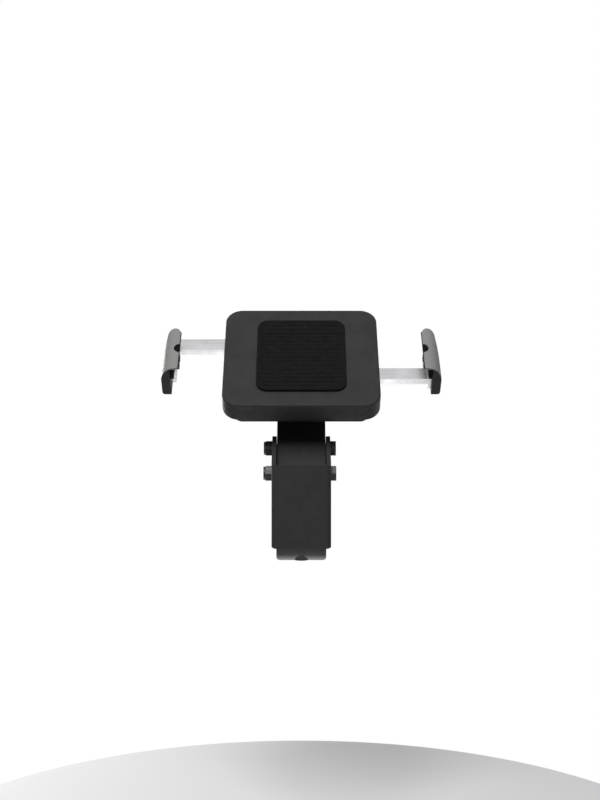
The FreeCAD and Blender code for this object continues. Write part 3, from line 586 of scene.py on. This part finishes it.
def jaw_grip_pieces(which, side):
    """The rubber of one jaw: a strip at the tablet's edge and a thinner one under the lip."""
    node = which + "_jaw_grip"
    low, high = local_box(node)
    inner, outer = sorted((abs(low[0]), abs(high[0])))
    edge_in = outer - GRIP_EDGE_T
    lip_low = high[2] - GRIP_LIP_T
    inset = np.array([0.0, GRIP_LIP_INSET, 0.0])
    strip = ribbed_bar(which + "_grip_edge", np.array([edge_in, low[1], low[2]]),
                       np.array([outer, high[1], lip_low]), side, "x")
    lip = ribbed_bar(which + "_grip_lip", np.array([inner, low[1], lip_low]) + inset,
                     np.array([outer, high[1], high[2]]) - inset, side, "z")
    stand_for(lip, node)
    return stand_for(strip, node)


SHEET_NODES = ("rail_bracket", "neck", "mounting_plate")
CAST_NODES = ("lower_jaw", "tilt_head")
MOULDED_NODES = ("upper_jaw_block", "rear_cover", "front_cover", "right_jaw_core", "left_jaw_core")
SKIN_NODES = ("right_jaw_shell", "left_jaw_shell")
ARM_NODES = ("right_arm", "left_arm")


def paint_rest():
    """Every node that still shows gets the finish of its own slot."""
    for name, node in NODES.items():
        if not node.hide_render:
            finish = finish_of(slot_of(name))
            for spot in range(len(node.data.materials)):
                node.data.materials[spot] = finish
            if not node.data.materials:
                node.data.materials.append(finish)


def lamp(name, place, target, size, power):
    """A round white lamp that faces a target and stays out of the camera's sight."""
    data = bpy.data.lights.new(name, "AREA")
    data.shape = "DISK"
    data.size = size
    data.energy = power
    light = bpy.data.objects.new(name, data)
    light.location = place
    light.visible_camera = False
    light.rotation_euler = (Vector(target) - Vector(place)).to_track_quat("-Z", "Y").to_euler()
    bpy.context.scene.collection.objects.link(light)


def build_floor(stage):
    """A plain pale disc under the mount."""
    turn = np.linspace(0, 2 * np.pi, FLOOR_SIDES, endpoint=False)
    level = np.full(FLOOR_SIDES, -stage.floor_drop)
    points = np.stack([FLOOR_R * np.cos(turn), FLOOR_R * np.sin(turn), level], axis=1)
    mesh = bpy.data.meshes.new("floor")
    mesh.from_pydata(points.tolist(), [], [list(range(FLOOR_SIDES))])
    floor = bpy.data.objects.new("floor", mesh)
    pale = bpy.data.materials.new("pale_floor")
    pale.use_nodes = True
    shader = pale.node_tree.nodes["Principled BSDF"]
    shader.inputs["Base Color"].default_value = FLOOR_COLOUR
    shader.inputs["Roughness"].default_value = 0.7
    mesh.materials.append(pale)
    bpy.context.scene.collection.objects.link(floor)


def build_world(stage):
    """White to the camera and in reflections, and a soft level of light for everything else."""
    world = bpy.data.worlds.new("white_room")
    world.use_nodes = True
    nodes, links = world.node_tree.nodes, world.node_tree.links
    nodes.clear()
    path = nodes.new("ShaderNodeLightPath")
    seen = nodes.new("ShaderNodeMath")
    seen.operation = "ADD"
    links.new(path.outputs["Is Camera Ray"], seen.inputs[0])
    links.new(path.outputs["Is Glossy Ray"], seen.inputs[1])
    direct = nodes.new("ShaderNodeMath")
    direct.operation = "ADD"
    direct.use_clamp = True
    links.new(seen.outputs["Value"], direct.inputs[0])
    links.new(path.outputs["Is Transmission Ray"], direct.inputs[1])
    room = nodes.new("ShaderNodeBackground")
    room.inputs["Strength"].default_value = stage.world_level
    white = nodes.new("ShaderNodeBackground")
    for background in (room, white):
        background.inputs["Color"].default_value = (1.0, 1.0, 1.0, 1.0)
    white.inputs["Strength"].default_value = 1.0
    mix = nodes.new("ShaderNodeMixShader")
    links.new(direct.outputs["Value"], mix.inputs["Fac"])
    links.new(room.outputs["Background"], mix.inputs[1])
    links.new(white.outputs["Background"], mix.inputs[2])
    out = nodes.new("ShaderNodeOutputWorld")
    links.new(mix.outputs["Shader"], out.inputs["Surface"])
    bpy.context.scene.world = world


def build_camera(stage):
    """Level camera in front of the mount, at the distance that the rail's size gives."""
    data = bpy.data.cameras.new("camera")
    data.lens = stage.lens
    data.sensor_fit = "AUTO"
    data.sensor_width = 36.0
    data.clip_start = 0.01
    camera = bpy.data.objects.new("camera", data)
    camera.location = (stage.camera_side, -stage.camera_distance, stage.camera_height)
    camera.rotation_euler = (math.radians(90.0), 0.0, 0.0)
    bpy.context.scene.collection.objects.link(camera)
    bpy.context.scene.camera = camera


class MOUNT_OT_sheet(bpy.types.Operator):
    """Soften the folded steel: bracket, neck and plate"""
    bl_idname = "mount.sheet"
    bl_label = "Folded steel"

    def execute(self, context):
        for node in SHEET_NODES:
            soften(node, sizes().edge)
        return {"FINISHED"}


class MOUNT_OT_castings(bpy.types.Operator):
    """Soften the castings: lower jaw and tilt head"""
    bl_idname = "mount.castings"
    bl_label = "Castings"

    def execute(self, context):
        for node in CAST_NODES:
            soften(node, sizes().moulded_edge, 3)
        return {"FINISHED"}


class MOUNT_OT_covers(bpy.types.Operator):
    """Soften the moulded covers, the upper jaw block and the jaw cores"""
    bl_idname = "mount.covers"
    bl_label = "Moulded covers"

    def execute(self, context):
        for node in MOULDED_NODES:
            soften(node, sizes().moulded_edge)
        return {"FINISHED"}


class MOUNT_OT_skins(bpy.types.Operator):
    """Soften the silver skins of the two jaws"""
    bl_idname = "mount.skins"
    bl_label = "Jaw skins"

    def execute(self, context):
        for node in SKIN_NODES:
            soften(node, sizes().edge, 3, flatten=False)
        return {"FINISHED"}


class MOUNT_OT_arms(bpy.types.Operator):
    """Break the sharp edges of the two arms"""
    bl_idname = "mount.arms"
    bl_label = "Arms"

    def execute(self, context):
        for node in ARM_NODES:
            soften(node, 0.5 * sizes().edge)
        return {"FINISHED"}


class MOUNT_OT_screw(bpy.types.Operator):
    """Clamp screw with its thread, knurl and socket"""
    bl_idname = "mount.screw"
    bl_label = "Clamp screw"

    def execute(self, context):
        clamp_screw_piece()
        return {"FINISHED"}


class MOUNT_OT_pad(bpy.types.Operator):
    """Ribbed pad behind the tablet"""
    bl_idname = "mount.pad"
    bl_label = "Back pad"

    def execute(self, context):
        back_pad_piece()
        return {"FINISHED"}


class MOUNT_OT_grips(bpy.types.Operator):
    """Ribbed rubber in the two jaws"""
    bl_idname = "mount.grips"
    bl_label = "Jaw grips"

    def execute(self, context):
        jaw_grip_pieces("right", 1)
        jaw_grip_pieces("left", -1)
        return {"FINISHED"}


class MOUNT_OT_finishes(bpy.types.Operator):
    """Paint the screws, nuts, washers and every other solid that still shows"""
    bl_idname = "mount.finishes"
    bl_label = "Finishes"

    def execute(self, context):
        paint_rest()
        return {"FINISHED"}


class MOUNT_OT_stage(bpy.types.Operator):
    """Camera, floor, room and lamps"""
    bl_idname = "mount.stage"
    bl_label = "Stage"

    def execute(self, context):
        stage = context.scene.mount_stage
        build_floor(stage)
        build_world(stage)
        build_camera(stage)
        lamp("key", KEY_PLACE, HOLDER_SPOT, KEY_SIZE, stage.key_power)
        lamp("side", SIDE_PLACE, HOLDER_SPOT, SIDE_SIZE, stage.side_power)
        lamp("low", LOW_PLACE, NOSE_SPOT, LOW_SIZE, stage.low_power)
        context.scene.view_settings.view_transform = "Standard"
        return {"FINISHED"}


OPERATORS = (MOUNT_OT_sheet, MOUNT_OT_castings, MOUNT_OT_covers, MOUNT_OT_skins, MOUNT_OT_arms,
             MOUNT_OT_screw, MOUNT_OT_pad, MOUNT_OT_grips, MOUNT_OT_finishes, MOUNT_OT_stage)


class MOUNT_PT_panel(bpy.types.Panel):
    """Buttons and sizes of the rail mount"""
    bl_idname = "MOUNT_PT_panel"
    bl_label = "Rail mount"
    bl_space_type = "VIEW_3D"
    bl_region_type = "UI"
    bl_category = "Rail mount"

    def draw(self, context):
        layout = self.layout
        for settings in (context.scene.mount_sizes, context.scene.mount_colours, context.scene.mount_stage):
            for name in settings.bl_rna.properties.keys():
                if name not in ("rna_type", "name"):
                    layout.prop(settings, name)
        for operator in OPERATORS:
            layout.operator(operator.bl_idname)


GROUPS = {"mount_sizes": MountSizes, "mount_colours": MountColours, "mount_stage": StageLight}


def register():
    for kind in (*GROUPS.values(), *OPERATORS, MOUNT_PT_panel):
        bpy.utils.register_class(kind)
    for name, kind in GROUPS.items():
        setattr(bpy.types.Scene, name, bpy.props.PointerProperty(type=kind))


def unregister():
    for name in GROUPS:
        delattr(bpy.types.Scene, name)
    for kind in (MOUNT_PT_panel, *reversed(OPERATORS), *reversed(GROUPS.values())):
        bpy.utils.unregister_class(kind)


def main():
    register()
    bpy.ops.mount.sheet()
    bpy.ops.mount.castings()
    bpy.ops.mount.covers()
    bpy.ops.mount.skins()
    bpy.ops.mount.arms()
    bpy.ops.mount.screw()
    bpy.ops.mount.pad()
    bpy.ops.mount.grips()
    bpy.ops.mount.finishes()
    bpy.ops.mount.stage()


if __name__ == "__main__":
    main()
